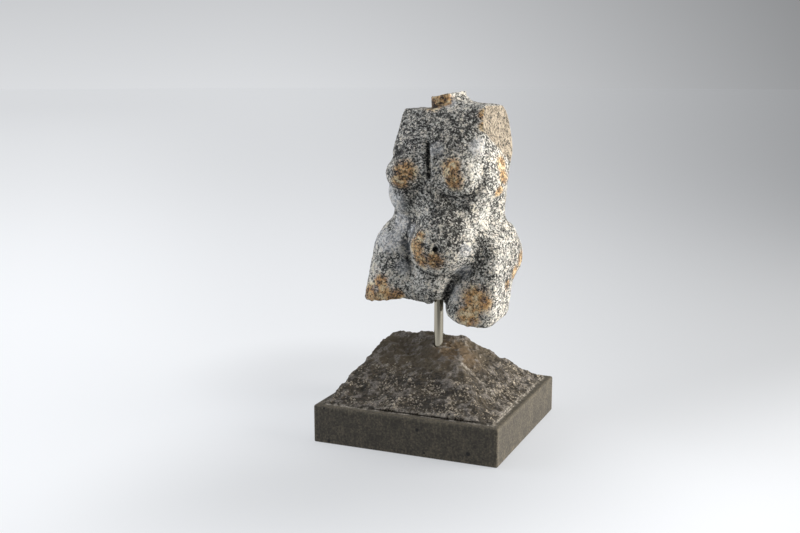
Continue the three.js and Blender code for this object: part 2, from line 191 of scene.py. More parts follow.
def tapered_bar(p, bar, open_end=False):
    axis = [b - a for a, b in zip(bar["upper"], bar["lower"])]
    offset = [value - at for value, at in zip(p, bar["upper"])]
    along = sum(o * a for o, a in zip(offset, axis)) / sum(a * a for a in axis)
    share = np.maximum(along, 0) if open_end else np.clip(along, 0, 1)
    side = [o - a * share for o, a in zip(offset, axis)]
    first, last = bar["radii"]
    return square_length(side, bar["square"]) - (first + (last - first) * share)


# Distance across and up to a path, and how far along the path its nearest point is
def nearest_on_path(x, z, path):
    best = np.full(np.broadcast(x, z).shape, np.inf)
    share = np.zeros_like(best)
    for i, ((x0, z0), (x1, z1)) in enumerate(zip(path[:-1], path[1:])):
        dx, dz = x1 - x0, z1 - z0
        t = np.clip(((x - x0) * dx + (z - z0) * dz) / (dx * dx + dz * dz), 0, 1)
        distance = np.hypot(x - x0 - t * dx, z - z0 - t * dz)
        nearer = distance < best
        share = np.where(nearer, (i + t) / (len(path) - 1), share)
        best = np.where(nearer, distance, best)
    return best, share


def line_depth(p, lines, side):
    x, y, z = p
    facing = np.clip(0.5 + side * y / LINE_FADE, 0, 1)
    total = 0
    for line in lines.values():
        distance, share = nearest_on_path(x, z, line["path"])
        ramp = np.where(share < line["deepest"], share / line["deepest"], (1 - share) / (1 - line["deepest"]))
        total = total + line["depth"] * smooth(LINE_RISE * ramp) * np.exp(-(distance / line["width"]) ** 2)
    return total * facing


def left_arm_cut(p):
    x, y, z = p
    m = LEFT_ARM_CUT
    return x - m["at"] + m["flare"] * (z - ARM_CUT_HEIGHT) - m["turn"] * (y - m["behind"])


def right_arm_cut(p):
    x, y, z = p
    return RIGHT_ARM_CUT["at"] - x + RIGHT_ARM_CUT["flare"] * (z - ARM_CUT_HEIGHT)


def upper_body(p):
    body = join(rounded_mass(p, CHEST), rounded_slab(p, SHOULDERS), SHOULDERS["blend"])
    body = join(body, rounded_mass(p, WAIST), WAIST["blend"])
    soft = LEFT_ARM_SOFT_EDGE
    low = smooth((soft["below"] - p[2]) / soft["over"])
    in_front = smooth((soft["before"] - p[1]) / soft["over"])
    body = cut(body, left_arm_cut(p), LEFT_ARM_CUT["edge"] + soft["edge"] * low * in_front)
    body = cut(body, right_arm_cut(p), RIGHT_ARM_CUT["edge"])
    return join(body, tapered_bar(p, ABDOMEN), ABDOMEN["blend"])


# The three faces of the left thigh's break: across, inner and outer
def left_thigh_breaks(p):
    x, y, z = p
    inner, outer = LEFT_THIGH_INNER_BREAK, LEFT_THIGH_OUTER_BREAK
    end = LEFT_THIGH_BREAK["height"] - z + LEFT_THIGH_BREAK["rise_back"] * y
    inner_end = (inner["height"] - z - inner["slope"] * (x - inner["at"])) / math.hypot(1, inner["slope"])
    outer_end = (outer["height"] - z + outer["slope"] * (x - outer["at"])) / math.hypot(1, outer["slope"])
    return end, inner_end, outer_end


def right_thigh_break(p):
    x, y, z = p
    m = RIGHT_THIGH_BREAK
    return m["height"] - z + m["rise"][0] * (x - m["at"][0]) + m["rise"][1] * (y - m["at"][1])


def left_thigh(p):
    thigh = tapered_bar(p, LEFT_THIGH, True)
    for end in left_thigh_breaks(p):
        thigh = cut(thigh, end, LEFT_THIGH_BREAK["edge"])
    return thigh


def right_thigh(p):
    return cut(tapered_bar(p, RIGHT_THIGH, True), right_thigh_break(p), RIGHT_THIGH_BREAK["edge"])


def lower_body(p):
    x, y, z = p
    body = rounded_mass(p, HIPS)
    for mass in (LEFT_BUTTOCK, RIGHT_BUTTOCK):
        body = join(body, rounded_mass(p, mass), mass["blend"])
    body = join(body, left_thigh(p), LEFT_THIGH["blend"])
    body = join(body, right_thigh(p), RIGHT_THIGH["blend"])
    side = x - HIP_SIDE["at"] - HIP_SIDE["flare"] * np.maximum(y - HIP_SIDE["behind"], 0)
    return cut(body, side, HIP_SIDE["edge"])


def shoulder_tops(p):
    x, y, z = p
    share = 1 / (1 + np.exp(-np.clip((x - SHOULDER_STEP["at"]) / SHOULDER_STEP["width"], -50, 50)))
    left = LEFT_SHOULDER_TOP["height"] - LEFT_SHOULDER_TOP["fall"] * (x - LEFT_SHOULDER_TOP["at"])
    return z - (RIGHT_SHOULDER_TOP * (1 - share) + left * share)


def neck_facet(p):
    x, y, z = p
    (at_x, at_y), (facing_x, facing_y) = NECK_FACET["at"], NECK_FACET["facing"]
    return (x - at_x) * facing_x + (y - at_y) * facing_y


def neck_top(p):
    x, y, z = p
    return z - NECK_TOP["height"] - NECK_TOP["rise"] * (x - NECK["centre"][0])


def neck(p):
    x, y, z = p
    (cx, cy), (hx, hy) = NECK["centre"], NECK["half"]
    share = square_length(((x - cx) / hx, (y - cy) / hy), NECK["square"])
    stump = cut((share - 1) * min(hx, hy), neck_facet(p), NECK_FACET["edge"])
    return np.maximum(stump, NECK["foot"] - z)


def torso_distance(p):
    x, y, z = p
    body = join(upper_body(p), lower_body(p), HIPS["blend"])
    body = join(body, rounded_mass(p, CROTCH), CROTCH["blend"])
    body = join(body, tapered_bar(p, LAP), LAP["blend"])
    for mass in (RIGHT_RIBS, LEFT_RIBS, RIGHT_BREAST, LEFT_BREAST, BELLY):
        body = join(body, rounded_mass(p, mass), mass["blend"])
    body = cut(body, -rounded_mass(p, WAIST_HOLLOW), WAIST_HOLLOW["blend"])
    body = cut(body, shoulder_tops(p), SHOULDER_EDGE)
    spread = NECK["blend"] + NECK_SPREAD["blend"] * smooth((x - NECK_SPREAD["at"]) / NECK_SPREAD["reach"])
    body = join(body, neck(p), spread)
    body = cut(body, neck_top(p), NECK_TOP["edge"])
    body = body + line_depth(p, FRONT_LINES, -1) + line_depth(p, BACK_LINES, 1)
    navel = np.hypot(x - NAVEL["at"][0], z - NAVEL["at"][1]) / NAVEL["width"]
    body = body + np.where(y < 0, NAVEL["depth"] * np.exp(-navel * navel), 0)
    body = cut(body, -rod_slot(p), ROD_SLOT["edge"])
    return np.maximum(body, -rod_hole(p))


def rod_slot(p):
    x, y, z = p
    sideways = np.abs(x + ROD_SLOT["turn"] * y) - ROD_SLOT["half_width"]
    upward = z - ROD_SLOT["top"] + ROD_SLOT["rise"] * y
    return np.maximum(np.maximum(sideways, y), upward)


# The drilled hole that the rod stands in
def rod_hole(p):
    x, y, z = p
    across = np.hypot(x, y) - ROD_DIAMETER / 2 - GAP
    return np.maximum(across, np.maximum(z - ROD_TOP - GAP, ROD_FOOT - GAP - z))


def lowest_face(x, y, faces):
    heights = [height + rise_x * x + rise_y * y for height, rise_x, rise_y in faces.values()]
    low = heights[0]
    for height in heights[1:]:
        low = join(low, height, HEWN_BLEND)
    return low


def mound_height(x, y):
    height = cut(lowest_face(x, y, HEWN_FACES), lowest_face(x, y, LEFT_LEDGE), HEWN_BLEND)
    height = cut(height, lowest_face(x, y, RIGHT_TOE), HEWN_BLEND)
    for wave in MOUND_WAVES:
        turn = math.radians(wave["direction"])
        along = x * math.cos(turn) + y * math.sin(turn)
        height = height + wave["height"] * np.sin(2 * math.pi * along / wave["length"] + wave["shift"])
    return np.maximum(height, LEAST_MOUND)


def base_distance(p):
    x, y, z = p
    half = BASE_SIDE / 2
    block = dict(centre=(0, 0, SLAB_HEIGHT / 2), half=(half, half, SLAB_HEIGHT / 2), rounding=ARRIS)
    slab = rounded_slab(p, block)
    reach = half - MARGIN
    mound = np.maximum(np.maximum(np.abs(x), np.abs(y)) - reach, SLAB_HEIGHT / 2 - z)
    mound = np.maximum(mound, HEWN_SLOPE * (z - mound_height(x, y)))
    return np.maximum(np.minimum(slab, mound), -rod_hole(p))


# Meshes from distances

def sample(distance, low, high, cell):
    counts = [int(round((b - a) / cell)) + 1 for a, b in zip(low, high)]
    x, y, z = (a + cell * np.arange(n) for a, n in zip(low, counts))
    values = np.empty(counts, np.float32)
    layers = 16
    for start in range(0, counts[2], layers):
        part = z[start:start + layers]
        grid = (x[:, None, None], y[None, :, None], part[None, None, :])
        values[:, :, start:start + layers] = distance(grid)
    return values


# One vertex in each grid cube that the surface passes through, and a four-sided face across each edge
def surface_net(values, low, cell):
    inside = values < 0
    shape = tuple(n - 1 for n in values.shape)
    size = shape[0] * shape[1] * shape[2]
    total = np.zeros((3, size))
    count = np.zeros(size)
    rings = []
    for axis in range(3):
        first, second = (axis + 1) % 3, (axis + 2) % 3
        low_end = tuple(slice(0, -1) if i == axis else slice(None) for i in range(3))
        high_end = tuple(slice(1, None) if i == axis else slice(None) for i in range(3))
        at = np.stack(np.nonzero(inside[low_end] != inside[high_end]))
        a, b = values[low_end][tuple(at)], values[high_end][tuple(at)]
        share = a / (a - b)
        ring = []
        for back in ((1, 1), (0, 1), (0, 0), (1, 0)):
            cube = at.copy()
            cube[first] -= back[0]
            cube[second] -= back[1]
            flat = np.ravel_multi_index(cube, shape, mode="clip")
            count += np.bincount(flat, minlength=size)
            total[axis] += np.bincount(flat, share, size)
            total[first] += np.bincount(flat, np.full(len(flat), float(back[0])), size)
            total[second] += np.bincount(flat, np.full(len(flat), float(back[1])), size)
            ring.append(flat)
        rings.append((np.stack(ring, 1), inside[low_end][tuple(at)]))
    used = np.nonzero(count)[0]
    index = np.full(size, -1)
    index[used] = np.arange(len(used))
    corner = np.stack(np.unravel_index(used, shape))
    points = (np.array(low, float)[:, None] + (corner + total[:, used] / count[used]) * cell).T
    faces = []
    for ring, outward in rings:
        quads = index[ring]
        quads[~outward] = quads[~outward][:, ::-1]
        faces.append(quads)
    return points, np.concatenate(faces)


def vertex_normals(points, faces):
    across = points[faces[:, 2]] - points[faces[:, 0]]
    along = points[faces[:, 3]] - points[faces[:, 1]]
    face_normal = np.cross(across, along)
    normal = np.stack([
        sum(np.bincount(faces[:, corner], face_normal[:, axis], len(points)) for corner in range(4))
        for axis in range(3)
    ], 1)
    return normal / np.maximum(np.linalg.norm(normal, axis=1), 1e-9)[:, None]


# Smooth lumps between -1 and 1 of about the given size, which repeat after so many
LUMP_REPEAT = 32


def lumps(points, size, seed):
    table = np.random.default_rng(seed).uniform(-1, 1, (LUMP_REPEAT, LUMP_REPEAT, LUMP_REPEAT))
    cell = points / size
    base = np.floor(cell).astype(int)
    share = smooth(cell - base)
    total = np.zeros(len(points))
    for corner in range(8):
        step = np.array([corner >> axis & 1 for axis in range(3)])
        weight = np.prod(np.where(step, share, 1 - share), axis=1)
        i, j, k = ((base + step) % LUMP_REPEAT).T
        total += weight * table[i, j, k]
    return total


# Shallow scoops with sharp ridges between them, as a chisel leaves in stone, in heights about a middle one
SCOOP_REPEAT = 16
SCOOP_UNEVEN = 0.25
SCOOP_MIDDLE = 0.35


def scoops(points, size, seed):
    shift = np.random.default_rng(seed).uniform(0, 1, (SCOOP_REPEAT, SCOOP_REPEAT, SCOOP_REPEAT, 3))
    place = points / size
    cell = np.floor(place).astype(int)
    best = np.full(len(points), np.inf)
    for step in np.ndindex(3, 3, 3):
        near = cell + np.array(step) - 1
        i, j, k = (near % SCOOP_REPEAT).T
        away = place - near - shift[i, j, k]
        best = np.minimum(best, (away ** 2).sum(axis=1) + SCOOP_UNEVEN * shift[i, j, k, 0])
    return best - SCOOP_MIDDLE


# How far each point sits in a hollow, and how far on a ridge, both from 0 to 1, seen over a short reach
def hollows_and_ridges(distance, points, normal, reach):
    here = distance(tuple(points.T))
    outward = distance(tuple((points + reach * normal).T)) - here
    inward = here - distance(tuple((points - reach * normal).T))
    hollow = (inward - outward) / reach
    return np.clip(hollow, 0, 1), np.clip(-hollow, 0, 1)


def mesh_piece(name, points, faces, looks=None):
    mesh = bpy.data.meshes.new(name)
    mesh.vertices.add(len(points))
    mesh.vertices.foreach_set("co", (points * MM).astype(np.float32).ravel())
    mesh.loops.add(faces.size)
    mesh.loops.foreach_set("vertex_index", faces.astype(np.int32).ravel())
    mesh.polygons.add(len(faces))
    mesh.polygons.foreach_set("loop_start", np.arange(0, faces.size, faces.shape[1], dtype=np.int32))
    mesh.update(calc_edges=True)
    mesh.validate()
    for key, value in (looks or {}).items():
        mesh.attributes.new(key, "FLOAT", "POINT").data.foreach_set("value", value.astype(np.float32))
    mesh.shade_smooth()
    piece = bpy.data.objects.new(name, mesh)
    bpy.context.scene.collection.objects.link(piece)
    return piece


# Pieces

# Stains, changes of tone, painted light and painted shade on the torso, by name: place on the surface, then
# reach
RUST = dict(
    across_right_thigh=((-44, -33, 143), 12), under_right_thigh=((-60, -27, 143), 10),
    right_breast=((-23, -43, 279), 13), right_breast_low=((-28, -42, 268), 11),
    left_breast=((27, -40, 284), 11), left_breast_low=((30, -41, 271), 10),
    left_of_navel=((-8, -43, 203), 11), under_left_of_navel=((-3, -42, 191), 10),
    above_left_of_navel=((-5, -43, 213), 7), below_navel=((12, -45, 190), 10),
    left_thigh=((49, -24, 148), 15), left_thigh_end=((43, -26, 132), 13),
    left_thigh_outer=((58, -24, 146), 9), right_thigh_corner=((-67, -29, 148), 10),
    right_thigh_end=((-49, -33, 147), 10), right_thigh_inner=((-35, -31, 147), 8),
    right_thigh=((-54, -31, 160), 9), neck_side=((-4, -5, 348), 12), neck_front=((8, -6, 351), 8),
    arm_cut_edge=((51, -12, 337), 6), arm_cut_edge_low=((53, -16, 325), 5), under_arm_cut=((66, 6, 286), 9),
    side_of_chest=((67, 6, 273), 8), side_of_ribs=((66, -1, 258), 6), buttock=((78, 40, 183), 9),
    buttock_low=((75, 27, 170), 8), thigh_side=((73, 9, 160), 6), back_of_shoulder=((-30, 36, 315), 14),
    below_shoulder=((-24, 44, 296), 15), right_buttock=((-44, 70, 178), 13),
    right_buttock_low=((-30, 66, 158), 14), small_of_back=((20, 42, 236), 12),
    side_of_back=((36, 42, 246), 13), left_thigh_back=((48, 40, 142), 15),
)
# Paler stone, and painted light on the left side of the breast, chest, flank and hip, where the key light
# falls
PALE_AND_LIT = dict(
    left_thigh=((47, -26, 140), 22), right_thigh=((-50, -30, 160), 16), lap_middle=((0, -31, 163), 24),
    neck_break=((20, 4, 352), 12), neck_foot=((13, -4, 345), 7), breast_side=((46, -31, 289), 14),
    breast_side_low=((52, -27, 272), 9), breast_side_top=((52, -25, 304), 11),
    chest_side=((46, -25, 312), 8), flank=((49, -12, 236), 15), flank_front=((42, -24, 220), 10),
    hip_side=((68, -18, 188), 10), right_of_lap=((-25, -23, 176), 9), lap=((-11, -30, 161), 10),
    left_of_lap=((8, -31, 160), 8), right_ribs=((-40, -29, 250), 12), right_hip=((-47, -22, 204), 13),
    right_waist=((-37, -16, 223), 10), left_shoulder_back=((45, 30, 325), 18),
    left_buttock=((30, 72, 190), 16),
)
# Smooth blue-grey stone, and painted light along the band beside the right groin, on the groove's lit wall
SMOOTH_GREY_AND_LIT = dict(
    right_ribs=((-37, -30, 245), 12), under_right_breast=((-45, -25, 258), 9),
    right_waist=((-37, -16, 223), 12), right_hip=((-47, -22, 204), 13),
    right_hip_side=((-62, -14, 206), 12), band_top=((-21, -24, 215), 8), band=((-30, -23, 197), 8),
    band_low=((-30, -26, 178), 8), inner_left_thigh=((25, -22, 154), 9), left_groin=((34, -22, 178), 9),
    breast_top=((50, -25, 305), 9), belly_side=((41, -32, 201), 7), beside_cleft=((10, -37, 302), 8),
    neck_foot=((13, -5, 346), 7), back_of_waist=((-20, 40, 232), 16),
)
# Darker stone, and painted shade under the left breast, in the side hollow, under the belly, in the crotch and
# between the buttocks
DARK_AND_SHADED = dict(
    right_chest=((-24, -23, 322), 24), middle_of_chest=((8, -27, 323), 22), left_chest=((32, -21, 327), 18),
    edge_of_chest=((-33, -28, 305), 16), top_of_abdomen=((15, -35, 243), 13), abdomen=((26, -36, 227), 15),
    low_abdomen=((34, -39, 210), 13), under_left_breast=((43, -27, 245), 11),
    side_hollow=((50, -17, 246), 8), hip=((53, -19, 210), 10), hip_low=((60, -20, 198), 10),
    groin_edge=((50, -22, 187), 10), under_belly=((3, -33, 171), 9), crotch=((1, -27, 145), 11),
    right_thigh=((-42, -29, 176), 9), buttock_side=((76, 30, 195), 16), side_of_thigh=((72, 8, 172), 14),
    shoulder_blades=((0, 42, 305), 26), between_buttocks=((2, 48, 178), 16),
)


# How strongly the nearest of the named patches shows: 1 near its place, and 0 at so many times its reach
PATCH_END = 1.45


def patch_share(points, patches):
    share = np.zeros(len(points))
    for place, reach in patches.values():
        distance = np.linalg.norm(points - np.array(place), axis=1)
        share = np.maximum(share, smooth(PATCH_END - distance / reach))
    return share


# How much of a broken face a point shows, from 0 on the carved skin to 1 on the break, with each thigh's break
# kept to its own side
BREAK_SKIN = dict(thick=3, left_from=4, right_from=-2, over=8)


def broken_share(p):
    x = p[0]
    m = BREAK_SKIN
    left = np.maximum.reduce([np.broadcast_to(face, x.shape) for face in left_thigh_breaks(p)])
    left_share = smooth(1 + left / m["thick"]) * smooth((x - m["left_from"]) / m["over"])
    right_share = smooth(1 + right_thigh_break(p) / m["thick"]) * smooth((m["right_from"] - x) / m["over"])
    neck_share = smooth(1 + neck_top(p) / m["thick"])
    return np.maximum(np.maximum(left_share, right_share), neck_share)


# The weathered end of the left arm, an upright oval on the plane of its cut that runs out downwards
ARM_CUT_OVAL = dict(thick=0.8, low=311, fall=0.75, front=-12, low_edge=9, back=44, back_edge=8)


def arm_cut_share(p):
    x, y, z = p
    m = ARM_CUT_OVAL
    lower_end = m["low"] - m["fall"] * (y - m["front"])
    on_cut = smooth(1 + left_arm_cut(p) / m["thick"])
    return on_cut * smooth((z - lower_end) / m["low_edge"]) * smooth((m["back"] - y) / m["back_edge"])


# Relief of the stones: size of its lumps or scoops, then how high they rise
SKIN_LUMPS = ((2.4, 0.3), (6, 0.3), (17, 0.35))
BREAK_SCOOPS = (9, 2.2)
BREAK_LUMPS = (5, 0.8)
BREAK_DEPTH = 0.5
NECK_TOP_DEPTH = dict(depth=1.3, above=352, over=3)
MOUND_CHIPS = (13, 2.1)
MOUND_SMALL_CHIPS = (5.5, 1.8)
MOUND_LUMPS = (2.6, 0.6)
MOUND_DEPTH = 0.4
TORSO_HOLLOW_REACH = 6
MOUND_RIDGE_REACH = 4
HEWN_EDGE = dict(above=0.6, over=1.5)
# How strongly painted shade darkens the hollows and the cleft
PAINTED_HOLLOW_SHADE = dict(in_hollows=1.8, in_cleft=0.25)
ARM_CUT_WEAR = 0.5


def make_torso():
    values = sample(torso_distance, TORSO_LOW, TORSO_HIGH, CELL)
    points, faces = surface_net(values, TORSO_LOW, CELL)
    normal = vertex_normals(points, faces)
    p = tuple(points.T)
    hollow, ridge = hollows_and_ridges(torso_distance, points, normal, TORSO_HOLLOW_REACH)
    cleft = line_depth(p, dict(cleft=FRONT_LINES["cleft"]), -1) / FRONT_LINES["cleft"]["depth"]
    # Painted shade in the hollows and the cleft, carried to the material as the hollow attribute
    painted_hollow_shade = np.maximum(np.clip(PAINTED_HOLLOW_SHADE["in_hollows"] * hollow, 0, 1), PAINTED_HOLLOW_SHADE["in_cleft"] * cleft)
    looks = dict(hollow=painted_hollow_shade, ridge=ridge, arm_cut=arm_cut_share(p), rust=patch_share(points, RUST),
                 pale_and_lit=patch_share(points, PALE_AND_LIT), smooth_grey_and_lit=patch_share(points, SMOOTH_GREY_AND_LIT),
                 dark_and_shaded=patch_share(points, DARK_AND_SHADED))
    rough = sum(height * lumps(points, size, seed) for seed, (size, height) in enumerate(SKIN_LUMPS, 1))
    chipped = BREAK_SCOOPS[1] * scoops(points, BREAK_SCOOPS[0], 4)
    chipped = chipped + BREAK_LUMPS[1] * lumps(points, BREAK_LUMPS[0], 5) - BREAK_DEPTH
    rough = rough + broken_share(p) * chipped
    top = NECK_TOP_DEPTH
    rough = rough - top["depth"] * smooth((p[2] - top["above"]) / top["over"])
    worn = 1 - ARM_CUT_WEAR * looks["arm_cut"]
    points = points + normal * (rough * worn)[:, None]
    return mesh_piece("granite_torso", points, faces, looks)


# Looks of the mound: the dusty line round its foot, the pale vein along its ridge, the dust round the rod and
# the brown of its top. Then the open pores in the front sawn face: how far across and up, and their radius.
FOOT_DUST_WIDTH = 2.2
VEIN = dict(path=((33, -22), (40, -21), (54, -21), (69, -26), (87, -42)), width=3.2, wander=2.2, lumps=6)
RING = dict(radius=6.5, width=2, end=1.8)
BROWN_TOP = dict(at=(22, -2), reach=26, end=1.4)
WORN = dict(chips=2, small_chips=1.5)
PORES = dict(near_rod=((15.7, 28.2), 1.2), low_right=((69.7, 10.8), 1.4), low_left=((-82.4, 3.2), 1.1),
             high_left=((-87.7, 37.6), 0.8), middle=((23.3, 5.2), 0.8))


def make_base():
    half = BASE_SIDE / 2
    margin = 3 * CELL
    low = (-half - margin, -half - margin, -margin)
    high = (half + margin, half + margin, MOUND_LIMIT + margin)
    points, faces = surface_net(sample(base_distance, low, high, CELL), low, CELL)
    normal = vertex_normals(points, faces)
    ridge = hollows_and_ridges(base_distance, points, normal, MOUND_RIDGE_REACH)[1]
    x, y, z = points.T
    hewn = smooth((z - SLAB_HEIGHT - HEWN_EDGE["above"]) / HEWN_EDGE["over"])
    chips = scoops(points, MOUND_CHIPS[0], 11)
    small_chips = scoops(points, MOUND_SMALL_CHIPS[0], 12)
    rough = MOUND_CHIPS[1] * chips + MOUND_SMALL_CHIPS[1] * small_chips
    rough = rough + MOUND_LUMPS[1] * lumps(points, MOUND_LUMPS[0], 13) - MOUND_DEPTH
    points = points + normal * (hewn * rough)[:, None]
    from_foot = np.maximum(np.abs(x), np.abs(y)) - half + MARGIN
    foot = np.exp(-(from_foot / FOOT_DUST_WIDTH) ** 2) * (z > SLAB_HEIGHT - 1)
    to_vein = nearest_on_path(x, y, VEIN["path"])[0]
    vein_width = VEIN["width"] + VEIN["wander"] * lumps(points, VEIN["lumps"], 14)
    vein = np.exp(-(to_vein / vein_width) ** 2) * hewn
    ring = smooth(RING["end"] - np.abs(np.hypot(x, y) - RING["radius"]) / RING["width"]) * hewn
    from_brown = np.hypot(x - BROWN_TOP["at"][0], y - BROWN_TOP["at"][1])
    brown = smooth(BROWN_TOP["end"] - from_brown / BROWN_TOP["reach"]) * hewn
    worn = hewn * smooth(WORN["chips"] * chips + WORN["small_chips"] * small_chips)
    looks = dict(hewn=hewn, foot=foot, vein=vein, ring=ring, brown=brown, worn=worn, ridge=ridge)
    return mesh_piece("basalt_block", points, faces, looks)


def make_rod():
    turns = 2 * math.pi * np.arange(ROD_SIDES) / ROD_SIDES
    rim = np.stack([np.cos(turns), np.sin(turns)], 1) * ROD_DIAMETER / 2
    straight = np.linspace(ROD_FOOT + ROD_CHAMFER, ROD_TOP - ROD_CHAMFER, ROD_RINGS)
    heights = np.concatenate([[ROD_FOOT], straight, [ROD_TOP]])
    end_scale = 1 - ROD_CHAMFER / (ROD_DIAMETER / 2)
    scales = [end_scale] + [1] * ROD_RINGS + [end_scale]
    rings = []
    for height, scale in zip(heights, scales):
        rings.append(np.column_stack([rim * scale, np.full(ROD_SIDES, height)]))
    index = np.arange(ROD_SIDES)
    after = (index + 1) % ROD_SIDES
    faces = []
    for row in range(len(heights) - 1):
        lower, upper = row * ROD_SIDES, (row + 1) * ROD_SIDES
        faces.append(np.stack([lower + index, lower + after, upper + after, upper + index], 1))
    piece = mesh_piece("steel_rod", np.concatenate(rings), np.concatenate(faces))
    close_ends(piece)
    return piece


# Fills the open rims of a tube
def close_ends(piece):
    shape = bmesh.new()
    shape.from_mesh(piece.data)
    bmesh.ops.holes_fill(shape, edges=[edge for edge in shape.edges if edge.is_boundary], sides=0)
    bmesh.ops.recalc_face_normals(shape, faces=shape.faces)
    shape.to_mesh(piece.data)
    shape.free()
    piece.data.shade_smooth()


# Materials

def linear(hex_colour):
    parts = [int(hex_colour[i:i + 2], 16) / 255 for i in (1, 3, 5)]
    return [v / 12.92 if v <= 0.04045 else ((v + 0.055) / 1.055) ** 2.4 for v in parts] + [1]


# Adds one node with its settings, its ramp's colours and its inputs by name or number, and gives one of its
# outputs. An input is linked where it comes from another node, and set where it is a number or a colour.
def node(tree, kind, inputs, output=0, stops=None, **settings):
    made = tree.nodes.new("ShaderNode" + kind)
    for key, value in settings.items():
        setattr(made, key, value)
    for key, value in inputs.items():
        if isinstance(value, bpy.types.NodeSocket):
            tree.links.new(value, made.inputs[key])
        else:
            made.inputs[key].default_value = value
    if stops:
        ramp = made.color_ramp.elements
        while len(ramp) < len(stops):
            ramp.new(0.5)
        for stop, (place, colour) in zip(ramp, stops.items()):
            stop.position = place
            stop.color = linear(colour)
    return made.outputs[output]


def new_material(name):
    material = bpy.data.materials.new(name)
    material.use_nodes = True
    tree = material.node_tree
    shader = tree.nodes["Principled BSDF"]
    return material, tree, shader


# Settings that several nodes share: a soft start and finish, and colours rather than numbers
EASED = dict(interpolation_type="SMOOTHSTEP")
COLOURS = dict(output=2, data_type="RGBA")


# Adds measures to a start value, each times its weight
def weighted_sum(tree, start, *terms):
    total = start
    for measure, weight in terms:
        total = node(tree, "Math", {0: measure, 1: weight, 2: total}, operation="MULTIPLY_ADD")
    return total


# Stone crystals of one size whose borders are bent by a noise, so many bends to a crystal
def crystals(tree, where, size, bend, bends=0.6):
    bent = node(tree, "TexNoise", {"Vector": where, "Scale": 1000 * bends / size, "Detail": 2}, "Color")
    moved = node(tree, "VectorMath", {0: bent, 1: [bend * MM] * 3, 2: where}, operation="MULTIPLY_ADD")
    return node(tree, "TexVoronoi", {"Vector": moved, "Scale": 1000 / size}, "Color")


# The cover of a stain, a patch of painted light or a patch of painted shade: its share on the surface, with an
# edge that the stone's own clouds break up
def stain_light_and_shade_cover(tree, name, clouds, spread, low, high):
    share = node(tree, "Attribute", {}, "Fac", attribute_name=name)
    broken_up = weighted_sum(tree, share, (clouds, spread))
    return node(tree, "MapRange", {0: broken_up, 1: low, 2: high})


# Widths in millimetres of the granite's crystals, grit and clouds, and its colours from its darkest tone up:
# on the carved skin, where it is smooth blue-grey and partly painted light, where iron stains it, and on the
# weathered end of the left arm
GRANITE = dict(large=1.7, small=1.0, grit=2.0, clouds=7, broad=34, roughness=0.78, relief=0.5)
GRANITE_SKIN = {0.05: "#0b0b0a", 0.3: "#2a2a28", 0.48: "#5e5e5a", 0.66: "#a6a6a0", 0.95: "#dcdbd4"}
GRANITE_SMOOTH_AND_LIT = {0.1: "#5a5e61", 0.5: "#989b9e", 0.9: "#cfd1d2"}
GRANITE_RUST = {0.36: "#b0742c", 0.5: "#e8b064", 0.64: "#ffecc2"}
GRANITE_ARM_CUT = {0.05: "#27231e", 0.28: "#60584b", 0.5: "#8c816f", 0.8: "#a39988"}


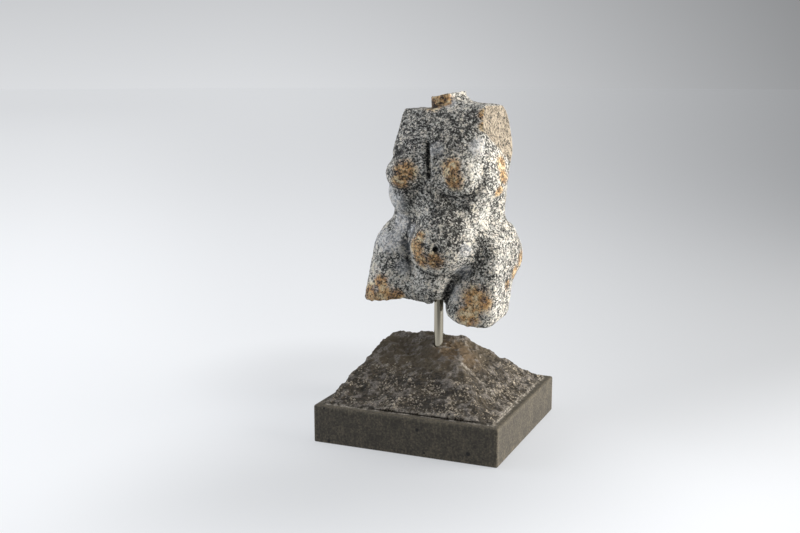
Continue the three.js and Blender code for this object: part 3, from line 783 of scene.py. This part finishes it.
# Weathered grey granite, carved and left rough: crystals of black mica, grey quartz and white feldspar, iron
# stains in ochre, painted shade in the hollows and the cleft, pale and dark patches that are partly painted
# light and painted shade, and smooth blue-grey places that are partly painted light
def granite():
    material, tree, shader = new_material("weathered_granite")
    where = node(tree, "TexCoord", {}, "Object")
    large = node(tree, "SeparateColor", {0: crystals(tree, where, GRANITE["large"], 1.5)})
    small = node(tree, "SeparateColor", {0: crystals(tree, where, GRANITE["small"], 1.0)})
    grit = node(tree, "TexNoise", {"Vector": where, "Scale": 1000 / GRANITE["grit"], "Detail": 3})
    clouds = node(tree, "TexNoise", {"Vector": where, "Scale": 1000 / GRANITE["clouds"], "Detail": 5})
    broad = node(tree, "TexNoise", {"Vector": where, "Scale": 1000 / GRANITE["broad"], "Detail": 3})
    hollow = node(tree, "Attribute", {}, "Fac", attribute_name="hollow")
    ridge = node(tree, "Attribute", {}, "Fac", attribute_name="ridge")
    pale_and_lit = stain_light_and_shade_cover(tree, "pale_and_lit", clouds, 0.9, 0.5, 1.3)
    dark_and_shaded = stain_light_and_shade_cover(tree, "dark_and_shaded", clouds, 0.9, 0.45, 1.35)
    smooth_and_lit = stain_light_and_shade_cover(tree, "smooth_grey_and_lit", clouds, 1.6, 0.8, 1.6)
    rust = stain_light_and_shade_cover(tree, "rust", weighted_sum(tree, clouds, (grit, 0.6)), 1.7, 1.35, 2.25)
    arm_cut = stain_light_and_shade_cover(tree, "arm_cut", clouds, 0.5, 0.5, 1.0)

    # The crystals give the tone, and the stains, the painted light and the painted shade lift or lower it,
    # more so where it is dark
    tone = weighted_sum(tree, -1.05, (large, 0.62), (small, 0.44), (grit, 1.0), (clouds, 0.9))
    # Painted light lifts the pale patches, and painted shade lowers the dark patches, the hollows and the
    # cleft
    lift = weighted_sum(tree, 0.02, (pale_and_lit, 0.2), (rust, 0.14), (dark_and_shaded, -0.17), (broad, 0.3), (ridge, 0.08),
                        (hollow, -0.6))
    half_lift = node(tree, "Math", {0: lift, 1: 0.5}, operation="MULTIPLY")
    lifted = node(tree, "Mix", {0: half_lift, 2: tone, 3: 1}, clamp_factor=False)
    lifted = weighted_sum(tree, lifted, (lift, 0.36))

    skin = node(tree, "ValToRGB", {0: lifted}, stops=GRANITE_SKIN)
    smooth_skin = node(tree, "ValToRGB", {0: lifted}, stops=GRANITE_SMOOTH_AND_LIT)
    rust_tint = node(tree, "ValToRGB", {0: clouds}, stops=GRANITE_RUST)
    cut_skin = node(tree, "ValToRGB", {0: tone}, stops=GRANITE_ARM_CUT)
    smooth_and_lit_cover = node(tree, "Math", {0: smooth_and_lit, 1: 0.7}, operation="MULTIPLY")
    rust_cover = node(tree, "Math", {0: rust, 1: 0.9}, operation="MULTIPLY")
    colour = node(tree, "Mix", {0: smooth_and_lit_cover, 6: skin, 7: smooth_skin}, **COLOURS)
    colour = node(tree, "Mix", {0: rust_cover, 6: colour, 7: rust_tint}, blend_type="MULTIPLY", **COLOURS)
    colour = node(tree, "Mix", {0: arm_cut, 6: colour, 7: cut_skin}, **COLOURS)
    bump = node(tree, "Bump", {"Height": tone, "Strength": 0.4, "Distance": GRANITE["relief"] * MM})

    tree.links.new(colour, shader.inputs["Base Color"])
    tree.links.new(bump, shader.inputs["Normal"])
    shader.inputs["Roughness"].default_value = GRANITE["roughness"]
    return material


# Widths in millimetres of the basalt's grain, clouds, saw marks, crystals and dust, and its colours from its
# darkest tone up
BASALT = dict(grain=1.8, clouds=20, saw_marks=2.2, chips=1.9, dust=5.5, clusters=14, cream=1.6, tool_marks=8,
              roughness=0.75, relief=1.7)
BASALT_SAWN = {0.45: "#2c2821", 0.62: "#413c32", 0.8: "#5e5748"}
BASALT_PORE = "#0b0a08"
BASALT_HEWN = {0.45: "#100d08", 0.7: "#2a241a", 0.95: "#4d4434"}
BASALT_BROWN = {0.45: "#1d1710", 0.8: "#4a3a26", 1.0: "#66533a"}
BASALT_DUST = {0.35: "#4b463f", 0.65: "#87817a"}
BASALT_CREAM = {0.0: "#544b3f", 1.0: "#b3a997"}
BASALT_PALE_DUST = {0.35: "#6d675d", 0.65: "#b5afa4"}


# The sawn faces: fine even grain with faint upright saw marks, lighter arrises and a few open pores
def sawn_basalt(tree, where, grain, clouds):
    ridge = node(tree, "Attribute", {}, "Fac", attribute_name="ridge")
    drawn_out = node(tree, "Mapping", {"Vector": where, "Scale": (1, 1, 0.12)})
    marks_scale = 1000 / BASALT["saw_marks"]
    saw_marks = node(tree, "TexNoise", {"Vector": drawn_out, "Scale": marks_scale, "Detail": 3})
    tone = weighted_sum(tree, grain, (clouds, 0.35), (saw_marks, 0.4), (ridge, 0.25))
    tone = node(tree, "Math", {0: tone, 1: 0.7}, operation="MULTIPLY")
    colour = node(tree, "ValToRGB", {0: tone}, stops=BASALT_SAWN)
    for (x, z), width in PORES.values():
        place = (x * MM, -BASE_SIDE / 2 * MM, z * MM)
        away = node(tree, "VectorMath", {0: where, 1: place}, "Value", operation="DISTANCE")
        rim = {0: away, 1: 1.3 * width * MM, 2: 1.7 * width * MM, 3: 1, 4: 0}
        pore = node(tree, "MapRange", rim, **EASED)
        colour = node(tree, "Mix", {0: pore, 6: colour, 7: linear(BASALT_PORE)}, **COLOURS)
    return colour


# Small cream crystals in clusters, more of them low on the mound: how far they cover the stone
def cream_crystals(tree, where, z):
    clusters = node(tree, "TexNoise", {"Vector": where, "Scale": 1000 / BASALT["clusters"], "Detail": 3})
    low_down = node(tree, "MapRange", {0: z, 1: 80 * MM, 2: 60 * MM, 3: 0, 4: 1}, **EASED)
    seeds = crystals(tree, where, BASALT["cream"], 2.4, BASALT["cream"] / 1.3)
    chance = node(tree, "SeparateColor", {0: seeds}, 1)
    chance = weighted_sum(tree, chance, (clusters, 2.2), (low_down, 0.4))
    chosen = node(tree, "MapRange", {0: chance, 1: 2.2, 2: 2.4, 3: 0, 4: 1}, **EASED)
    from_middle = seeds.node.outputs["Distance"]
    filled = node(tree, "MapRange", {0: from_middle, 1: 0.5, 2: 0.75, 3: 0.9, 4: 0}, **EASED)
    return node(tree, "Math", {0: chosen, 1: filled}, operation="MULTIPLY")


# Dark basalt: sawn faces, and a hewn top that is dark brown in its hollows, dusty on its ridges and set with
# small cream crystals
def basalt():
    material, tree, shader = new_material("sawn_and_hewn_basalt")
    where = node(tree, "TexCoord", {}, "Object")
    z = node(tree, "SeparateXYZ", {0: where}, "Z")
    hewn = node(tree, "Attribute", {}, "Fac", attribute_name="hewn")
    brown = node(tree, "Attribute", {}, "Fac", attribute_name="brown")
    worn = node(tree, "Attribute", {}, "Fac", attribute_name="worn")
    grain = node(tree, "TexNoise", {"Vector": where, "Scale": 1000 / BASALT["grain"], "Detail": 3})
    clouds = node(tree, "TexNoise", {"Vector": where, "Scale": 1000 / BASALT["clouds"], "Detail": 5})
    dust_clouds = node(tree, "TexNoise", {"Vector": where, "Scale": 1000 / BASALT["dust"], "Detail": 7})
    tool_marks = node(tree, "TexNoise", {"Vector": where, "Scale": 1000 / BASALT["tool_marks"], "Detail": 8})
    chips = node(tree, "SeparateColor", {0: crystals(tree, where, BASALT["chips"], 1.5)})

    high_up = node(tree, "MapRange", {0: z, 1: 62 * MM, 2: 80 * MM, 3: 0, 4: 1}, **EASED)
    tone = node(tree, "Math", {0: grain, 1: 0.6}, operation="MULTIPLY")
    tone = weighted_sum(tree, tone, (chips, 0.3), (clouds, 0.5), (high_up, 0.34))
    hewn_colour = node(tree, "ValToRGB", {0: tone}, stops=BASALT_HEWN)
    brown_colour = node(tree, "ValToRGB", {0: tone}, stops=BASALT_BROWN)
    brown_cover = node(tree, "Math", {0: brown, 1: 0.7}, operation="MULTIPLY")
    hewn_colour = node(tree, "Mix", {0: brown_cover, 6: hewn_colour, 7: brown_colour}, **COLOURS)
    dust = node(tree, "Math", {0: dust_clouds, 1: 0.9}, operation="MULTIPLY")
    dust = weighted_sum(tree, dust, (worn, 0.45))
    dust_cover = node(tree, "MapRange", {0: dust, 1: 0.52, 2: 0.95, 3: 0, 4: 0.8}, **EASED)
    dust_colour = node(tree, "ValToRGB", {0: grain}, stops=BASALT_DUST)
    hewn_colour = node(tree, "Mix", {0: dust_cover, 6: hewn_colour, 7: dust_colour}, **COLOURS)
    cream = node(tree, "ValToRGB", {0: chips}, stops=BASALT_CREAM)
    hewn_colour = node(tree, "Mix", {0: cream_crystals(tree, where, z), 6: hewn_colour, 7: cream}, **COLOURS)

    sawn_colour = sawn_basalt(tree, where, grain, clouds)
    colour = node(tree, "Mix", {0: hewn, 6: sawn_colour, 7: hewn_colour}, **COLOURS)
    pale_dust = node(tree, "ValToRGB", {0: grain}, stops=BASALT_PALE_DUST)
    for name, most in dict(foot=0.75, vein=0.8, ring=0.7).items():
        share = node(tree, "Attribute", {}, "Fac", attribute_name=name)
        thickness = node(tree, "MapRange", {0: dust_clouds, 1: 0.42, 2: 0.6, 3: 0, 4: most}, **EASED)
        cover = node(tree, "Math", {0: share, 1: thickness}, operation="MULTIPLY")
        colour = node(tree, "Mix", {0: cover, 6: colour, 7: pale_dust}, **COLOURS)
    relief = weighted_sum(tree, tone, (tool_marks, 3))
    relief = node(tree, "Math", {0: relief, 1: hewn}, operation="MULTIPLY")
    relief = weighted_sum(tree, relief, (grain, 0.3))
    bump = node(tree, "Bump", {"Height": relief, "Strength": 1, "Distance": BASALT["relief"] * MM})

    tree.links.new(colour, shader.inputs["Base Color"])
    tree.links.new(bump, shader.inputs["Normal"])
    shader.inputs["Roughness"].default_value = BASALT["roughness"]
    return material


# Drawn stainless bar with a satin finish: fine lines along its length that spread the highlight. Their width
# in millimetres is coarser than that of real ones, so that they show.
STEEL = dict(lines=0.8, lengthways=0.05, smoothest=0.08, roughest=0.16, colour="#a19b8c")


def satin_steel():
    material, tree, shader = new_material("satin_stainless_steel")
    where = node(tree, "TexCoord", {}, "Object")
    drawn_out = node(tree, "Mapping", {"Vector": where, "Scale": (1, 1, STEEL["lengthways"])})
    lines = node(tree, "TexNoise", {"Vector": drawn_out, "Scale": 1000 / STEEL["lines"], "Detail": 3})
    roughness = node(tree, "MapRange", {0: lines, 3: STEEL["smoothest"], 4: STEEL["roughest"]})
    tree.links.new(roughness, shader.inputs["Roughness"])
    shader.inputs["Base Color"].default_value = linear(STEEL["colour"])
    shader.inputs["Metallic"].default_value = 1
    return material


# Floor, light and camera, from here on in metres

CAMERA_PLACE = (0.411886, -1.080828, 0.392407)
CAMERA_TURN = 22.9116
CAMERA_DOWN = 10.6286
CAMERA_LENS = 50
CAMERA_SENSOR = 36
CAMERA_AWAY = 1.15
FLOOR_RADIUS = 14
WHITE = "#fafcff"
LIGHTS = dict(
    key=dict(place=(1.52, 0.3, 0.45), aim=(0, 0, 0.17), size=(1.2, 1.0), power=59, colour="#fffaf4"),
    left_fill=dict(place=(-1.9, -0.7, 1.1), aim=(0, 0, 0.2), size=(1.6, 1.4), power=32, colour="#f8f9ff"),
    top=dict(place=(0.1, 0.2, 2.0), aim=(0, 0, 0.2), size=(1.4, 1.4), power=16, colour="#ffffff"),
)

# Painted shadows on the floor beside the sculpture: where, how far they reach, and how dark they are
FLOOR_PAINTED_SHADOWS = (((0.03, -0.22, 0), 0.34, 0.22), ((-0.2, 0.13, 0), 0.22, 0.12))


def make_camera():
    data = bpy.data.cameras.new("camera")
    data.lens = CAMERA_LENS
    data.sensor_width = CAMERA_SENSOR
    camera = bpy.data.objects.new("camera", data)
    camera.location = CAMERA_PLACE
    camera.rotation_euler = (math.radians(90 - CAMERA_DOWN), 0, math.radians(CAMERA_TURN))
    bpy.context.scene.collection.objects.link(camera)
    bpy.context.scene.camera = camera


# Distances across the picture and away from the camera
def picture_axes(tree, where):
    turned = node(tree, "VectorRotate", {"Vector": where, "Angle": math.radians(-CAMERA_TURN)})
    across = node(tree, "SeparateXYZ", {0: turned}, "X")
    return across, across.node.outputs["Y"]


# How light the studio is: it gets darker towards the right of the picture, and behind the camera
def studio_light(tree, across, along):
    sideways = node(tree, "MapRange", {0: across, 1: -0.16, 2: 0.62, 3: 0.7, 4: 0.16}, **EASED)
    lengthways = node(tree, "MapRange", {0: along, 1: -0.6, 2: -0.25, 3: 0.3, 4: 1}, **EASED)
    return node(tree, "Math", {0: sideways, 1: lengthways}, operation="MULTIPLY")


# White paper floor that glows with painted light, as it does under studio lamps: a painted light pool on the
# left and one in front on the right, painted shadows beside the sculpture, and the tone of the backdrop
# farther off.
# Between the picture and the camera its glow fades to dark, which the steel reflects as its dark stripe.
def floor_paper():
    material, tree, shader = new_material("floor_paper_with_painted_light")
    where = node(tree, "TexCoord", {}, "Object")
    across, along = picture_axes(tree, where)
    far = node(tree, "VectorMath", {0: where}, "Value", operation="LENGTH")
    reach = node(tree, "Math", {0: far, 1: CAMERA_AWAY}, operation="ADD")
    sideways = node(tree, "Math", {0: across, 1: reach}, operation="DIVIDE")
    lengthways = node(tree, "Math", {0: along, 1: reach}, operation="DIVIDE")
    backdrop = studio_light(tree, sideways, lengthways)
    backdrop = node(tree, "Math", {0: backdrop, 1: 0.95}, operation="MULTIPLY")

    # Painted light pools and painted shadows on the glowing paper
    left_pool = node(tree, "MapRange", {0: sideways, 1: -0.12, 2: -0.32, 3: 0, 4: 0.1}, **EASED)
    left_fade = node(tree, "MapRange", {0: far, 1: 1, 2: 9, 3: 1, 4: 0}, **EASED)
    across_share = node(tree, "Math", {0: across, 1: 0.7}, operation="MULTIPLY")
    frontward = node(tree, "Math", {0: across_share, 1: along}, operation="SUBTRACT")
    front_pool = node(tree, "MapRange", {0: frontward, 1: 0.02, 2: 0.45, 3: 0, 4: 0.27}, **EASED)
    front_fade = node(tree, "MapRange", {0: far, 1: 0.9, 2: 4, 3: 1, 4: 0}, **EASED)
    glow = weighted_sum(tree, backdrop, (left_pool, left_fade), (front_pool, front_fade))
    for place, shade_reach, depth in FLOOR_PAINTED_SHADOWS:
        away = node(tree, "VectorMath", {0: where, 1: place}, "Value", operation="DISTANCE")
        shade = node(tree, "MapRange", {0: away, 1: 0.03, 2: shade_reach, 3: -depth, 4: 0}, **EASED)
        glow = node(tree, "Math", {0: glow, 1: shade}, operation="ADD")
    in_front = node(tree, "MapRange", {0: along, 1: -0.52, 2: -0.28, 3: 0.08, 4: 1}, **EASED)
    far_off = node(tree, "MapRange", {0: far, 1: 1, 2: 3, 3: 0, 4: 1}, **EASED)
    near_camera = node(tree, "Math", {0: in_front, 1: far_off}, operation="MAXIMUM")
    glow = node(tree, "Math", {0: glow, 1: near_camera}, operation="MULTIPLY")

    tree.links.new(glow, shader.inputs["Emission Strength"])
    shader.inputs["Emission Color"].default_value = linear(WHITE)
    shader.inputs["Base Color"].default_value = linear("#707274")
    shader.inputs["Roughness"].default_value = 0.9
    return material


def make_floor():
    bpy.ops.mesh.primitive_circle_add(vertices=96, radius=FLOOR_RADIUS, fill_type="NGON")
    floor = bpy.context.object
    floor.name = "floor"
    floor.data.materials.append(floor_paper())


# The room round the floor: its light side is the one that the backdrop shows, and it gets darker upwards
def make_world():
    world = bpy.data.worlds.new("studio")
    world.use_nodes = True
    tree = world.node_tree
    where = node(tree, "TexCoord", {}, "Generated")
    across, along = picture_axes(tree, where)
    up = node(tree, "SeparateXYZ", {0: where}, "Z")
    upward = weighted_sum(tree, 1.0, (up, -2.2))
    upward = node(tree, "Math", {0: upward, 1: 0.45}, operation="MAXIMUM")
    glow = node(tree, "Math", {0: studio_light(tree, across, along), 1: upward}, operation="MULTIPLY")
    background = tree.nodes["Background"]
    background.inputs["Color"].default_value = linear(WHITE)
    tree.links.new(glow, background.inputs["Strength"])
    bpy.context.scene.world = world


def make_light(name, place, aim, size, power, colour):
    data = bpy.data.lights.new(name, "AREA")
    data.shape = "RECTANGLE"
    data.size, data.size_y = size
    data.energy = power
    data.color = linear(colour)[:3]
    light = bpy.data.objects.new(name, data)
    light.location = place
    light.rotation_euler = (Vector(aim) - Vector(place)).to_track_quat("-Z", "Y").to_euler()
    bpy.context.scene.collection.objects.link(light)


def dress(piece, cad_node, material):
    piece.data.materials.clear()
    piece.data.materials.append(material)
    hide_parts(cad_node)
    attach(piece, "root")


make_camera()
make_floor()
make_world()
for name, light in LIGHTS.items():
    make_light(name, **light)
bpy.context.scene.view_settings.view_transform = "Standard"
dress(make_torso(), "torso", granite())
dress(make_rod(), "rod", satin_steel())
dress(make_base(), "base", basalt())
